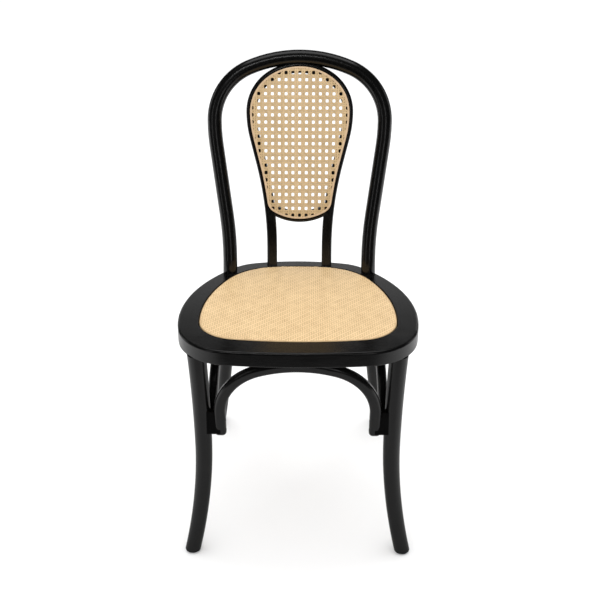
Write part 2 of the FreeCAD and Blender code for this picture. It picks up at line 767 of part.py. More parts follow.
def side_brace_line():
    """Side brace in its own plane, from the front limb's foot at the origin."""
    leg = front_leg_at(brace_end)
    reach = front_leg_radius(brace_end) + size("brace_width") / 2 - size("brace_saddle")
    front_x = size("side_brace_front_x")
    front = Vector(front_x, leg.y + math.sqrt(reach**2 - (leg.x - front_x)**2), brace_end)
    rear_leg, down = rear_leg_at(brace_end)
    slope = math.atan2(down.y, -down.z)
    behind = (size("bow_diameter") + size("brace_width")) / 2 - size("brace_saddle")
    rear = Vector(size("side_brace_rear_x"), rear_leg.y - behind / math.cos(slope), brace_end)
    span = Vector(rear.x - front.x, rear.y - front.y, 0)
    crown = (brace_crown - brace_end) / math.cos(math.radians(size("side_brace_lean")))
    corner = size("side_brace_corner")
    tilt = math.degrees(slope)
    rear_limb = (crown - corner * (1 - math.sin(slope))) / math.cos(slope)
    last = Vector(span.Length, 0, 0)
    rear_top = last + at_angle(90 + tilt, rear_limb)
    rear_centre = rear_top - at_angle(tilt, corner)
    formula = "Sizes.side_brace_corner"
    steps = [
        ("line", MIDDLE, Vector(0, crown - corner, 0)),
        ("arc", Vector(corner, crown - corner, 0), corner, 90, 180, formula),
        ("line", Vector(corner, crown, 0), Vector(rear_centre.x, crown, 0)),
        ("arc", rear_centre, corner, tilt, 90, formula),
        ("line", rear_top, last),
    ]
    return front, rear, span, slope, steps


def side_brace(name, side):
    """Arch from a front leg to the rear leg behind it."""
    front, rear, span, slope, steps = side_brace_line()
    body = new_body(name)
    section = sketch_in(body, name + "_section", "XY_Plane")
    line = sketch_in(body, name + "_line", "XZ_Plane")
    chain_in(line, steps)
    brace_rod(body, section, line)
    heading = Rotation(UP, math.degrees(math.atan2(span.y, side * span.x)))
    lean = Rotation(Vector(1, 0, 0), -side * size("side_brace_lean"))
    body.Placement = Placement(Vector(side * front.x, front.y, front.z), heading.multiply(lean))
    return body


# Front legs


def front_leg(name, side, heading):
    """Tapered leg with a bent foot, a round tenon above and a bore for its glide."""
    body = new_body(name, None, (UP, heading))
    top_out = front_leg_out(under_z)
    foot_out = front_leg_out(sole_z)
    foot = sketch_in(body, name + "_foot", "XY_Plane", "Sizes.glide_height")
    circle_in(foot, "Sizes.leg_foot_diameter", f"{foot_out}")
    head = sketch_in(body, name + "_head", "XY_Plane", SEAT_UNDER)
    circle_in(head, "Sizes.leg_top_diameter", f"{top_out}")
    line = sketch_in(body, name + "_line", "XZ_Plane")
    lower = size("leg_foot_radius")
    upper = size("leg_upper_radius")
    waist = size("leg_waist_z")
    low_turn = math.degrees(math.asin((waist - sole_z) / lower))
    high_turn = math.degrees(math.asin((under_z - waist) / upper))
    chain_in(line, [
        ("arc", Vector(lower, waist, 0), lower, 180, 180 + low_turn, "Sizes.leg_foot_radius"),
        ("arc", Vector(upper, waist, 0), upper, 180 - high_turn, 180, "Sizes.leg_upper_radius"),
    ])
    doc.recompute()
    rod = pipe(body, foot, line, head)
    rounded(body, rod, flat_at(sole_z), "Sizes.foot_round")
    tenon = sketch_in(body, name + "_tenon", "XY_Plane", SEAT_UNDER)
    circle_in(tenon, "Sizes.leg_tenon_diameter", f"{top_out}")
    pad(body, tenon, "Sizes.leg_tenon_length")
    pin = sketch_in(body, name + "_pin_bore", "XY_Plane", "Sizes.glide_height")
    circle_in(pin, "Sizes.glide_pin_diameter + 2 * Sizes.screw_clearance", f"{foot_out}")
    pocket(body, pin, "Sizes.glide_pin_length + Sizes.screw_clearance", upwards=True)
    body.Placement.Base = Vector(side * size("leg_waist_x"), size("leg_waist_y"), 0)
    body.setExpression("Placement.Base.x", f"{side} * Sizes.leg_waist_x")
    body.setExpression("Placement.Base.y", "Sizes.leg_waist_y")
    doc.recompute()
    return body


# Seat ring


def ring_blank(name):
    """Whole ring: outline, rounded edges, opening for the panel and ledge below it."""
    body = new_body(name)
    outline = sketch_in(body, name + "_rim", "XY_Plane", SEAT_UNDER)
    chain_in(outline, seat_outline("rim"), closed=True)
    block = pad(body, outline, "Sizes.ring_thickness")
    block = rounded(body, block, flat_at(top_z), "Sizes.rim_top_round")
    block = rounded(body, block, flat_at(under_z), "Sizes.rim_bottom_round")
    well = sketch_in(body, name + "_well", "XY_Plane", "Sizes.seat_height")
    chain_in(well, seat_outline("well"), closed=True)
    opened = pocket(body, well, "Sizes.ledge_depth")
    rim_box = opened.Shape.BoundBox

    def well_edge(edge):
        return flat_at(top_z)(edge) and abs(edge.CenterOfMass.x) < 0.45 * rim_box.XLength and (
            well_face.distToShape(edge)[0] < 0.01)

    well_face = wire_of(seat_outline("well"))
    well_face.translate(Vector(0, 0, top_z))
    rounded(body, opened, well_edge, "Sizes.well_edge_round")
    ledge = sketch_in(body, name + "_ledge", "XY_Plane", "Sizes.seat_height")
    chain_in(ledge, seat_outline("well", "Sizes.ledge_width"), closed=True)
    pocket(body, ledge, "Sizes.ring_thickness")
    return body


def tongues(extra):
    """The front rail's two tongues, which lie between the rim and the opening."""
    margin = f"Sizes.tongue_margin - {extra}"
    length = size("tongue_length") + extra
    thick = size("tongue_thickness") + 2 * extra
    middle = (under_z + top_z) / 2
    low = middle - thick / 2
    band = seat_slab("rim", margin, low, low + thick)
    band = band.cut(seat_slab("well", f"-({margin})", low - 1, low + thick + 1))
    start = size("seam_y") - 0.5
    zone = Part.makeBox(2 * FAR, length + 0.5, FAR, Vector(-FAR, start, 0))
    return band.common(zone)


def ledge_points():
    """Places on the ledge for the panel's screws, at a few directions round the seat."""
    inset = "Sizes.ledge_width * 0.42"
    line = wire_of(seat_outline("well", inset))
    points = []
    for direction in (62, 20, -28, -62):
        ray = Part.makeLine(MIDDLE, at_angle(direction, FAR))
        points.append(line.distToShape(ray)[1][0][0])
    return points


# Feet


def foot_glide(name, x, y):
    """Plastic glide: a domed disc with a pin that is driven into the leg."""
    body = new_body(name)
    drawn = sketch_in(body, name + "_profile", "XZ_Plane")
    rim = size("glide_diameter") / 2
    pin = size("glide_pin_diameter") / 2
    height = size("glide_height")
    top = height + size("glide_pin_length")
    bevel = 0.75 * height
    corners = [(0, 0), (rim - bevel, 0), (rim, bevel), (rim, height), (pin, height), (pin, top), (0, top)]
    points = [Vector(a, b, 0) for a, b in corners]
    items = [drawn.addGeometry(Part.LineSegment(start, end))
             for start, end in zip(points, points[1:] + points[:1])]
    for first, second in zip(items, items[1:] + items[:1]):
        drawn.addConstraint(Sketcher.Constraint("Coincident", first, 2, second, 1))
    bind(drawn, "DistanceX", (-1, 1, items[3], 1), rim, "Sizes.glide_diameter / 2")
    bind(drawn, "DistanceX", (-1, 1, items[5], 1), pin, "Sizes.glide_pin_diameter / 2")
    bind(drawn, "DistanceY", (-1, 1, items[4], 1), height, "Sizes.glide_height")
    bind(drawn, "DistanceY", (-1, 1, items[6], 1), top, "Sizes.glide_height + Sizes.glide_pin_length")
    doc.recompute()
    revolved(body, drawn)
    body.Placement.Base = Vector(x, y, 0)
    return keep(body, name)


# Build: blanks first, then what joins them, then each blank coped for its neighbours

CROWN = f"{SEAT_UNDER} + Sizes.brace_bite - Sizes.brace_width / 2"
brace_crown = worth(CROWN)
brace_end = under_z - size("brace_drop")
below_ring = Part.makeBox(2 * FAR, 2 * FAR, FAR, Vector(-FAR, -FAR, under_z))

CROWN_FACE = f"({CROWN} - Sizes.brace_width / 2 + Sizes.screw_sink)"
RING_SCREW = f"({LEDGE_TOP} - Sizes.ring_screw_cover - {CROWN_FACE})"

leg_screws = Fasteners(*screw_pattern("leg_screw", "Sizes.leg_screw_length"))
ring_screws = Fasteners(*screw_pattern("ring_screw", RING_SCREW))
panel_screws = Fasteners(*screw_pattern("panel_screw", "Sizes.panel_screw_length"))
loop_screws = Fasteners(*screw_pattern("loop_screw", "Sizes.loop_screw_length"))
sink = size("screw_sink")

front_blank = front_brace()
right_blank = side_brace("right_brace", 1)
left_blank = side_brace("left_brace", -1)

half_span = front_brace_line()[0]
front, rear, span, slope, side_steps = side_brace_line()
inwards = math.tan(math.radians(size("side_brace_lean")))
for alias in ("brace_screw_low", "brace_screw_high"):
    rise = size(alias)
    height = brace_end + rise
    front_start = half_span - size("brace_width") / 2 + sink
    leg_screws.add_pair(Vector(front_start, front_brace_y(height), height), Vector(1, 0, 0))
    limb = Vector(front.x - rise * inwards, front.y, height)
    way = front_leg_at(height) - limb
    way.normalize()
    reach = size("brace_width") / 2 / abs(way.dot(span) / span.Length)
    leg_screws.add_pair(limb - way * (reach - sink), way)
    limb = Vector(rear.x - rise * inwards, rear.y - math.tan(slope) * rise, height)
    way = rear_leg_at(height)[0] - limb
    way.normalize()
    reach = size("brace_width") / 2 / abs(way.dot(span) / span.Length) / math.cos(slope)
    leg_screws.add_pair(limb - way * (reach - sink), way)

crown_low = worth(CROWN_FACE)
crown_in = Vector(-(brace_crown - brace_end) * inwards, 0, 0)
ring_screws.add_pair(Vector(15, size("front_brace_y"), crown_low), UP)
for part in (0.44, 0.54):
    spot = front + span * part + crown_in
    ring_screws.add_pair(Vector(spot.x, spot.y, crown_low), UP)
for spot in ledge_points():
    panel_screws.add_pair(Vector(spot.x, spot.y, under_z + sink), UP)

tenon_half = size("leg_tenon_diameter") / 2
leg_top = front_leg_at(under_z)
leg_bores = on_both_sides([
    cylinder(leg_top - UP, leg_top + UP * (size("leg_tenon_length") + clear), tenon_half + clear),
])

stile_x = size("loop_seat_x")
stile_radius = size("tenon_diameter") / 2


def stile_tenon(extra):
    low = Vector(stile_x, 0, -size("stile_tenon") - extra)
    return lean_in_place(cylinder(low, Vector(stile_x, 0, size("loop_depth") / 2), stile_radius + extra))


stile_bores = on_both_sides([stile_tenon(clear)])

bolt_z = (under_z + ledge_z) / 2
bolt_leg, bolt_down = rear_leg_at(bolt_z)
inward = Vector(-1, -0.86, 0).normalize()
bolt_face = bolt_leg - inward * (size("bow_diameter") / 2 - size("bolt_spot"))
BOLT_SHANK = "Sizes.bolt_diameter / 2"
BOLT_BORE = "Sizes.bolt_diameter / 2 + Sizes.screw_clearance"
BOLT_TIP = "Sizes.bolt_head_height + Sizes.bolt_length"
WASHER_SPOT = "Sizes.washer_diameter / 2 + 0.2"
WASHER_SEAT = "Sizes.bolt_head_height + Sizes.washer_thickness"
bolts = Fasteners(turned_pattern("bolt", [
    ("0", "0"), ("Sizes.bolt_head / 2 - 1", "0"), ("Sizes.bolt_head / 2", "1"),
    ("Sizes.bolt_head / 2", "Sizes.bolt_head_height"), (BOLT_SHANK, "Sizes.bolt_head_height"),
    (BOLT_SHANK, BOLT_TIP), ("0", BOLT_TIP),
]), turned_pattern("bolt_hole", [
    ("0", "-2 * Sizes.bolt_head"), (WASHER_SPOT, "-2 * Sizes.bolt_head"),
    (WASHER_SPOT, WASHER_SEAT), (BOLT_BORE, WASHER_SEAT),
    (BOLT_BORE, f"{BOLT_TIP} + Sizes.screw_clearance"), ("0", f"{BOLT_TIP} + Sizes.screw_clearance"),
]))
head_start = bolt_face - inward * (size("bolt_head_height") + size("washer_thickness"))
bolts.add_pair(head_start, inward)
washer = turned_pattern("washer", [
    (BOLT_BORE, "0"), ("Sizes.washer_diameter / 2", "0"),
    ("Sizes.washer_diameter / 2", "Sizes.washer_thickness"), (BOLT_BORE, "Sizes.washer_thickness"),
])
washers = Fasteners(washer, washer)
washers.add_pair(bolt_face - inward * size("washer_thickness"), inward)

# Inner bow and its panel, drawn upright in their own frame

FRONT = -size("loop_depth") / 2
BACK = size("loop_depth") / 2
LEAN = (Vector(1, 0, 0), "-1 * Sizes.loop_lean")
PLACE = {"y": "Sizes.loop_seat_y", "z": "Sizes.seat_height"}
LANDING = 3.0

loop_blank = new_body("loop_rod", PLACE, LEAN)
loop_section = sketch_in(loop_blank, "loop_section", "XY_Plane", f"-{LANDING} mm")
rounded_rectangle(loop_section, "Sizes.loop_seat_x", "Sizes.loop_width", "Sizes.loop_depth",
                  "Sizes.loop_outer_round", "Sizes.loop_inner_round")
loop_line = sketch_in(loop_blank, "loop_line", "XZ_Plane")
chain_in(loop_line, bow_steps("loop", low=-LANDING))
doc.recompute()
pipe(loop_blank, loop_section, loop_line)

groove_back = FRONT + size("spline_depth") + clear
groove_in = "Sizes.lip_width + Sizes.spline_width"
groove = panel_slab("Sizes.lip_width", groove_back, FRONT - 1).cut(
    panel_slab(groove_in, groove_back + 1, FRONT - 2))

for x in (-24, 24):
    start = Vector(x, 0, 0)
    inner = worth("Sizes.loop_top_radius - Sizes.loop_width / 2")
    steps = bow_steps("loop")
    centre = steps[5][1]
    start.z = centre.y + math.sqrt(inner**2 - x**2) + sink + 0.4
    place = lean_in_place(Part.Vertex(start)).Point
    lean_up = Vector(0, math.sin(math.radians(size("loop_lean"))), math.cos(math.radians(size("loop_lean"))))
    loop_screws.add(place, lean_up)


def loop_rod(extra):
    """Space of the inner bow's rod, for the saddle under the outer bow."""
    steps = bow_steps("loop", low=0)
    path = Part.Wire(Part.__sortEdges__([curve(step).toShape() for step in steps]))
    path.rotate(MIDDLE, Vector(1, 0, 0), 90)
    width = size("loop_width") + 2 * extra
    depth = size("loop_depth") + 2 * extra
    box = Part.makeBox(width, depth, 1, Vector(stile_x - width / 2, -depth / 2, 0))
    uprights = [edge for edge in box.Edges if edge.BoundBox.ZLength > 0.9]
    inner = [edge for edge in uprights if edge.CenterOfMass.x < stile_x]
    box = box.makeFillet(size("loop_inner_round") + extra, inner)
    outer = [edge for edge in box.Edges if edge.BoundBox.ZLength > 0.9
             and edge.CenterOfMass.x > stile_x + width / 2 - 0.01
             and abs(edge.CenterOfMass.y) > depth / 2 - 0.01]
    box = box.makeFillet(size("loop_outer_round") + extra, outer)
    floor = min(box.Faces, key=lambda face: face.CenterOfMass.z)
    return swept(path, floor.OuterWire)


loop_room = lean_in_place(loop_rod(clear))

# Bottom rail of the panel, between the stiles
sill_zone = Part.makeBox(2 * stile_x, 4 * size("loop_depth"), size("sill_bottom") + size("sill_corner"),
                         Vector(-stile_x, -2 * size("loop_depth"), 0))
sill_shape = panel_slab("0", BACK, FRONT).cut(panel_slab("Sizes.loop_width", BACK + 1, FRONT - 1))
sill_shape = one_solid(sill_shape.common(sill_zone).cut(loop_rod(clear)))
sill_blank = doc.addObject("Part::Feature", "sill_blank")
sill_blank.Shape = sill_shape.makeFillet(
    size("sill_round"), [edge for edge in sill_shape.Edges if edge.Length > 60 and
                         edge.CenterOfMass.z < size("sill_bottom") + 0.5 * size("loop_width")])
sill_blank.Placement = Placement(Vector(0, size("loop_seat_y"), top_z),
                                 Rotation(Vector(1, 0, 0), -size("loop_lean")))

dowel_z = size("sill_bottom") + 0.82 * size("loop_width")
dowel_start = worth("Sizes.loop_seat_x - Sizes.loop_width / 2 - Sizes.dowel_length / 2")


def dowel(extra):
    """Round dowel that crosses from the bottom rail into the right stile."""
    start = Vector(dowel_start - extra, 0, dowel_z)
    end = start + Vector(size("dowel_length") + 2 * extra, 0, 0)
    return cylinder(start, end, size("dowel_diameter") / 2 + extra)


dowels = [lean_in_place(solid) for solid in on_both_sides([dowel(0)])]
dowel_bores = [lean_in_place(solid) for solid in on_both_sides([dowel(clear)])]
groove_cut = lean_in_place(groove)

# Woven cane of the back: one sheet with its octagonal holes


def cane_sheet():
    inset = groove_in + " + Sizes.joint_clearance"
    outline = wire_of(panel_steps(inset))
    face = Part.Face(outline)
    room = Part.Face(wire_of(panel_steps(groove_in + " + Sizes.cane_margin")))
    flat = size("cane_hole") / 2
    corner = flat / math.cos(math.radians(22.5))
    octagon = [at_angle(22.5 + 45 * turn, corner) for turn in range(9)]
    pitch_x = size("cane_pitch_x")
    pitch_z = size("cane_pitch_z")
    box = room.BoundBox
    holes = []
    for row in range(int(box.YMin / pitch_z), int(box.YMax / pitch_z) + 1):
        for column in range(int(box.XMin / pitch_x) - 1, int(box.XMax / pitch_x) + 2):
            centre = Vector(column * pitch_x, size("cane_row_shift") + row * pitch_z, 0)
            corners = [centre + point for point in octagon]
            if all(room.isInside(point, 0.01, True) for point in corners):
                holes.append(Part.makePolygon(corners))
    sheet_face = Part.Face([outline] + holes, "Part::FaceMakerBullseye")
    solid = sheet_face.extrude(Vector(0, 0, size("cane_thickness")))
    solid.rotate(MIDDLE, Vector(1, 0, 0), 90)
    solid.translate(Vector(0, FRONT, 0))
    print("cane holes", len(holes))
    return lean_in_place(solid)


def spline_reed():
    """Reed pressed into the groove, its proud edges eased."""
    outer = "Sizes.lip_width + Sizes.joint_clearance"
    inner = "Sizes.lip_width + Sizes.spline_width - Sizes.joint_clearance"
    front = FRONT - size("spline_proud")
    back = FRONT + size("spline_depth")
    reed = panel_slab(outer, back, front).cut(panel_slab(inner, back + 1, front - 1))
    proud = [edge for edge in reed.Edges if abs(edge.BoundBox.YMax - front) < 1e-3]
    return lean_in_place(one_solid(reed).makeFillet(size("spline_round"), proud))


# Finished sub-parts

right_front = front_leg("right_leg", 1, "-45 deg")
left_front = front_leg("left_leg", -1, "-135 deg")
screws = leg_screws.cuts()
both_legs = [right_front.Shape, left_front.Shape]

coped("front_leg_right", right_front, screws)
coped("front_leg_left", left_front, screws)
coped("front_arch", front_blank, both_legs + screws + ring_screws.cuts() + [below_ring])
for side_name, blank in (("right", right_blank), ("left", left_blank)):
    coped(f"side_arch_{side_name}", blank,
          both_legs + screws + ring_screws.cuts() + [below_ring, outer_bow])

packings = doc.addObject("Part::Feature", "packing_blanks")
packings.Shape = Part.makeCompound([packing(1), packing(-1)])
coped("front_arch_packings", packings, both_legs + screws + [front_blank.Shape])

seam = size("seam_y")
behind_seam = Part.makeBox(2 * FAR, FAR, 2 * FAR, Vector(-FAR, seam, -FAR)).cut(tongues(0))
before_seam = Part.makeBox(2 * FAR, FAR, 2 * FAR, Vector(-FAR, seam + size("seam_gap") - FAR, -FAR)).fuse(
    tongues(clear))
ring_cuts = ring_screws.cuts() + panel_screws.cuts()
coped("seat_front_rail", ring_blank("rail"), [behind_seam] + leg_bores + ring_cuts)
coped("seat_bow", ring_blank("bow"), [before_seam, outer_bow_room] + stile_bores + bolts.cuts() + ring_cuts)

feet = [Vector(side * size("rear_foot_x"), size("rear_foot_y"), 0) for side in (1, -1)]
pin_bores = []
for foot in feet:
    leg, down = rear_leg_at(sole_z + 0.01)
    spot = Vector(math.copysign(leg.x, foot.x), leg.y, sole_z)
    pin_bores.append(cylinder(spot - UP, spot + UP * (size("glide_pin_length") + 0.1),
                              size("glide_pin_diameter") / 2 + size("screw_clearance")))
floor_cut = Part.makeBox(2 * FAR, 2 * FAR, FAR, Vector(-FAR, -FAR, sole_z - FAR))
bow_blank = doc.addObject("Part::Feature", "bow_blank")
footed = one_solid(outer_bow.cut(floor_cut))
sole_edges = [edge for edge in footed.Edges if flat_at(sole_z)(edge)]
bow_blank.Shape = footed.makeFillet(size("foot_round"), sole_edges)
coped("back_bow", bow_blank, [loop_room] + screws + bolts.cuts() + loop_screws.cuts() + pin_bores)

landing = Part.makeBox(2 * FAR, 2 * FAR, FAR, Vector(-FAR, -FAR, top_z - FAR))
stiles = doc.addObject("Part::Feature", "stile_tenons")
stiles.Shape = Part.makeCompound([stile_tenon(0), on_both_sides([stile_tenon(0)])[1]])
landed = doc.addObject("Part::Cut", "landed_loop")
landed.Base = loop_blank
landing_tool = doc.addObject("Part::Feature", "landing")
landing_tool.Shape = landing
landed.Tool = landing_tool
tenoned = doc.addObject("Part::MultiFuse", "tenoned_loop")
tenoned.Shapes = [landed, stiles]
doc.recompute()
coped("back_loop", tenoned, [groove_cut] + dowel_bores + loop_screws.cuts())
coped("back_panel_rail", sill_blank, [groove_cut] + dowel_bores)
shape_part("back_cane", cane_sheet())
shape_part("back_cane_spline", spline_reed())

board = new_body("board_blank")
board_outline = sketch_in(board, "board_outline", "XY_Plane", LEDGE_TOP)
chain_in(board_outline, seat_outline("well", "Sizes.cover_gap + Sizes.cover_skirt"), closed=True)
pad(board, board_outline, "Sizes.board_thickness")
coped("seat_board", board, panel_screws.cuts())

cover = new_body("seat_cane_cover")
cover_outline = sketch_in(cover, "cover_outline", "XY_Plane", LEDGE_TOP)
chain_in(cover_outline, seat_outline("well", "Sizes.cover_gap"), closed=True)
cover_block = pad(cover, cover_outline, "Sizes.board_thickness + Sizes.cover_sheet")
rounded(cover, cover_block, flat_at(ledge_z + worth("Sizes.board_thickness + Sizes.cover_sheet")),
        "Sizes.cover_round")
cover_inside = sketch_in(cover, "cover_inside", "XY_Plane", LEDGE_TOP)
chain_in(cover_inside, seat_outline("well", "Sizes.cover_gap + Sizes.cover_skirt"), closed=True)
pocket(cover, cover_inside, "Sizes.board_thickness", upwards=True)
keep(cover, "seat_cane_cover")

leg_screws.group("arch_leg_screws")
ring_screws.group("arch_ring_screws")
panel_screws.group("seat_board_screws")
loop_screws.group("loop_screws")
bolts.group("rear_leg_bolts")
washers.group("rear_leg_washers")
shape_part("panel_rail_dowels", Part.makeCompound(dowels))
front_foot = front_leg_at(sole_z)
rear_foot = rear_leg_at(sole_z + 0.01)[0]
foot_glide("foot_glide_front_right", front_foot.x, front_foot.y)
foot_glide("foot_glide_front_left", -front_foot.x, front_foot.y)
foot_glide("foot_glide_rear_right", rear_foot.x, rear_foot.y)
foot_glide("foot_glide_rear_left", -rear_foot.x, rear_foot.y)

doc.recompute()
faults = []
for item in doc.Objects:
    if "Invalid" in item.State or "Error" in item.State:
        faults.append(item.Name)
for item in SUB_PARTS:
    if item.Shape.isNull() or not item.Shape.isValid():
        faults.append(item.Label)
if faults:
    raise RuntimeError("not sound: " + ", ".join(faults))
os.makedirs("parts", exist_ok=True)
for item in SUB_PARTS:
    item.Shape.exportStep(os.path.join("parts", item.Label + ".step"))
    print(item.Label, len(item.Shape.Solids), round(item.Shape.Volume))
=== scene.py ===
import math
import random

import bpy
from mathutils import Matrix, Vector

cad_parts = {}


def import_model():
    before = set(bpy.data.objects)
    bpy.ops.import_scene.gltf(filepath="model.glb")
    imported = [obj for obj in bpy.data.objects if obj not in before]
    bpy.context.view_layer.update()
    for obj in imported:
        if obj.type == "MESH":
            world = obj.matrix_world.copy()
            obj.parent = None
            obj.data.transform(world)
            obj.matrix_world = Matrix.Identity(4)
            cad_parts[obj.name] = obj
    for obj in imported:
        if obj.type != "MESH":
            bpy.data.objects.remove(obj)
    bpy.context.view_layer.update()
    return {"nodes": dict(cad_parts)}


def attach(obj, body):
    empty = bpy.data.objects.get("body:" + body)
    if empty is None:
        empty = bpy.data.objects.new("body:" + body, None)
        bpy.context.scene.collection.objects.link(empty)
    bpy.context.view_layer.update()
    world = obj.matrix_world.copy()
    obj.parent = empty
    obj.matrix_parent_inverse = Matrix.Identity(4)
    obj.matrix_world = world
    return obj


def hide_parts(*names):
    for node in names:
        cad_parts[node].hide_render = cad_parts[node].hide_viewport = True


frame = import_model()
nodes = frame["nodes"]

# The chair's lengths are in millimetres; the studio's are in metres
MM = 0.001
DATUM_Y = -54.62
SEAT_Z = 455.0


# Shader helpers

NOISE_LOW = 0.25
NOISE_HIGH = 0.75
MIX_FACTOR = 0
MIX_FIRST = 6
MIX_SECOND = 7
MIX_COLOUR = 2


def grey(value):
    return (value, value, value, 1)


def tinted(colour, red, green, blue):
    return (colour[0] * red, colour[1] * green, colour[2] * blue, 1)


def new_material(name):
    material = bpy.data.materials.new(name)
    material.use_nodes = True
    tree = material.node_tree
    shader = tree.nodes["Principled BSDF"]
    return material, tree, shader


def add(tree, kind, **settings):
    node = tree.nodes.new(kind)
    for key, value in settings.items():
        setattr(node, key, value)
    return node


def link(tree, source, target):
    tree.links.new(source, target)


def object_place(tree, stretch):
    """Position on the object, in metres, scaled along each axis."""
    place = add(tree, "ShaderNodeTexCoord")
    mapping = add(tree, "ShaderNodeMapping")
    mapping.inputs["Scale"].default_value = stretch
    link(tree, place.outputs["Object"], mapping.inputs["Vector"])
    return mapping.outputs["Vector"]


def noise(tree, place, scale, detail=3.0, roughness=0.55):
    node = add(tree, "ShaderNodeTexNoise")
    node.inputs["Scale"].default_value = scale
    node.inputs["Detail"].default_value = detail
    node.inputs["Roughness"].default_value = roughness
    link(tree, place, node.inputs["Vector"])
    return node.outputs["Fac"]


def ramp(tree, source, low, high, first, second):
    """Colour that runs from first to second as source goes from low to high."""
    node = add(tree, "ShaderNodeValToRGB")
    node.color_ramp.elements[0].position = low
    node.color_ramp.elements[0].color = first
    node.color_ramp.elements[1].position = high
    node.color_ramp.elements[1].color = second
    link(tree, source, node.inputs["Fac"])
    return node.outputs["Color"]


def remap(tree, source, start, stop, low=0.0, high=1.0):
    """Number that runs from low to high as source goes from start to stop."""
    node = add(tree, "ShaderNodeMapRange")
    node.inputs["From Min"].default_value = start
    node.inputs["From Max"].default_value = stop
    node.inputs["To Min"].default_value = low
    node.inputs["To Max"].default_value = high
    link(tree, source, node.inputs["Value"])
    return node.outputs["Result"]


def spread(tree, source, low, high):
    """A noise's usual range remapped to low and high."""
    return remap(tree, source, NOISE_LOW, NOISE_HIGH, low, high)


def bump(tree, shader, source, strength, distance):
    node = add(tree, "ShaderNodeBump")
    node.inputs["Strength"].default_value = strength
    node.inputs["Distance"].default_value = distance
    link(tree, source, node.inputs["Height"])
    link(tree, node.outputs["Normal"], shader.inputs["Normal"])


def mix(tree, factor, first, second):
    node = add(tree, "ShaderNodeMix", data_type="RGBA")
    for socket, value in ((MIX_FACTOR, factor), (MIX_FIRST, first), (MIX_SECOND, second)):
        if isinstance(value, bpy.types.NodeSocket):
            link(tree, value, node.inputs[socket])
        else:
            node.inputs[socket].default_value = value
    return node.outputs[MIX_COLOUR]


def edge_wear(tree):
    """Near 1 on sharp outer edges, where lacquer rubs thin, and near 0 elsewhere."""
    geometry = add(tree, "ShaderNodeNewGeometry")
    return ramp(tree, geometry.outputs["Pointiness"], 0.53, 0.60, grey(0), grey(1))


# Materials

EVEN = (1, 1, 1)
UPRIGHT_GRAIN = (420, 420, 26)
CROSSWISE_GRAIN = (26, 420, 420)
LENGTHWISE_GRAIN = (420, 26, 420)
# Strand shade value below which the cane runs into its painted shadow colour
SHADOW_BELOW = 0.40


def black_wood(name, stretch):
    """Black satin lacquer over bent beech: fine open grain under the film."""
    material, tree, shader = new_material(name)
    grain = noise(tree, object_place(tree, stretch), 1.0, 4.0, 0.6)
    cloud = noise(tree, object_place(tree, EVEN), 22.0, 3.0)
    base = ramp(tree, grain, 0.35, 0.7, grey(0.0012), (0.0030, 0.0029, 0.0028, 1))
    worn = mix(tree, edge_wear(tree), base, (0.010, 0.0095, 0.009, 1))
    link(tree, worn, shader.inputs["Base Color"])
    link(tree, spread(tree, cloud, 0.19, 0.27), shader.inputs["Roughness"])
    shader.inputs["IOR"].default_value = 1.42
    shader.inputs["Specular IOR Level"].default_value = 0.5
    bump(tree, shader, grain, 0.16, 0.0004)
    return material


def painted_shade_black(name):
    """Black stained wood without lacquer, as on packing pieces, made darker and more matte than the lacquer
    so that it paints the shade in the gap between front leg and arch limb.
    """
    material, tree, shader = new_material(name)
    grain = noise(tree, object_place(tree, (300, 300, 40)), 1.0, 4.0, 0.6)
    # Darker than the lacquer's black: painted shade in the gap
    stain = ramp(tree, grain, 0.3, 0.7, grey(0.0008), (0.0022, 0.0021, 0.0020, 1))
    link(tree, stain, shader.inputs["Base Color"])
    link(tree, spread(tree, grain, 0.72, 0.86), shader.inputs["Roughness"])
    shader.inputs["Specular IOR Level"].default_value = 0.08
    bump(tree, shader, grain, 0.2, 0.0003)
    return material


def cane_material(name, light, dark, roughness, edge):
    """Peeled cane: golden skin with lighter patches of painted glint, long fibres, strands of differing
    tone, and painted shade along strand edges and wherever a strand's shade value is low.
    """
    material, tree, shader = new_material(name)
    place = object_place(tree, EVEN)
    patch = noise(tree, place, 60.0, 4.0)
    fibre = noise(tree, place, 900.0, 2.0)
    strand = add(tree, "ShaderNodeAttribute", attribute_name="strand").outputs["Fac"]
    skin = ramp(tree, strand, SHADOW_BELOW, 1.0, dark, light)
    # Painted shade: low strand values, at strand edges and in the seat's dips and pits, take this darker
    # shadow colour
    shadow = tinted(dark, edge, edge * 0.92, edge * 0.84)
    tone = mix(tree, remap(tree, strand, 0.0, SHADOW_BELOW), shadow, skin)
    # Lighter patches over the skin are a painted glint
    glinted = mix(tree, spread(tree, patch, 0.0, 0.35), tone, tinted(light, 1.06, 1.05, 1.0))
    fine = mix(tree, spread(tree, fibre, 0.0, 0.3), glinted, tinted(dark, 0.8, 0.74, 0.66))
    link(tree, fine, shader.inputs["Base Color"])
    link(tree, spread(tree, patch, roughness - 0.06, roughness + 0.08), shader.inputs["Roughness"])
    bump(tree, shader, fibre, 0.25, 0.0002)
    return material


def plain_grained(name, light, dark, stretch, roughness, metallic=0.0):
    """Plain matter with a fine grain in its colour, gloss and surface."""
    material, tree, shader = new_material(name)
    grain = noise(tree, object_place(tree, stretch), 1.0, 5.0, 0.65)
    link(tree, ramp(tree, grain, 0.3, 0.7, dark, light), shader.inputs["Base Color"])
    link(tree, spread(tree, grain, roughness - 0.07, roughness + 0.07), shader.inputs["Roughness"])
    shader.inputs["Metallic"].default_value = metallic
    bump(tree, shader, grain, 0.2, 0.0003)
    return material


def dress(name, material):
    mesh = nodes[name].data
    mesh.materials.clear()
    mesh.materials.append(material)
    for polygon in mesh.polygons:
        polygon.material_index = 0


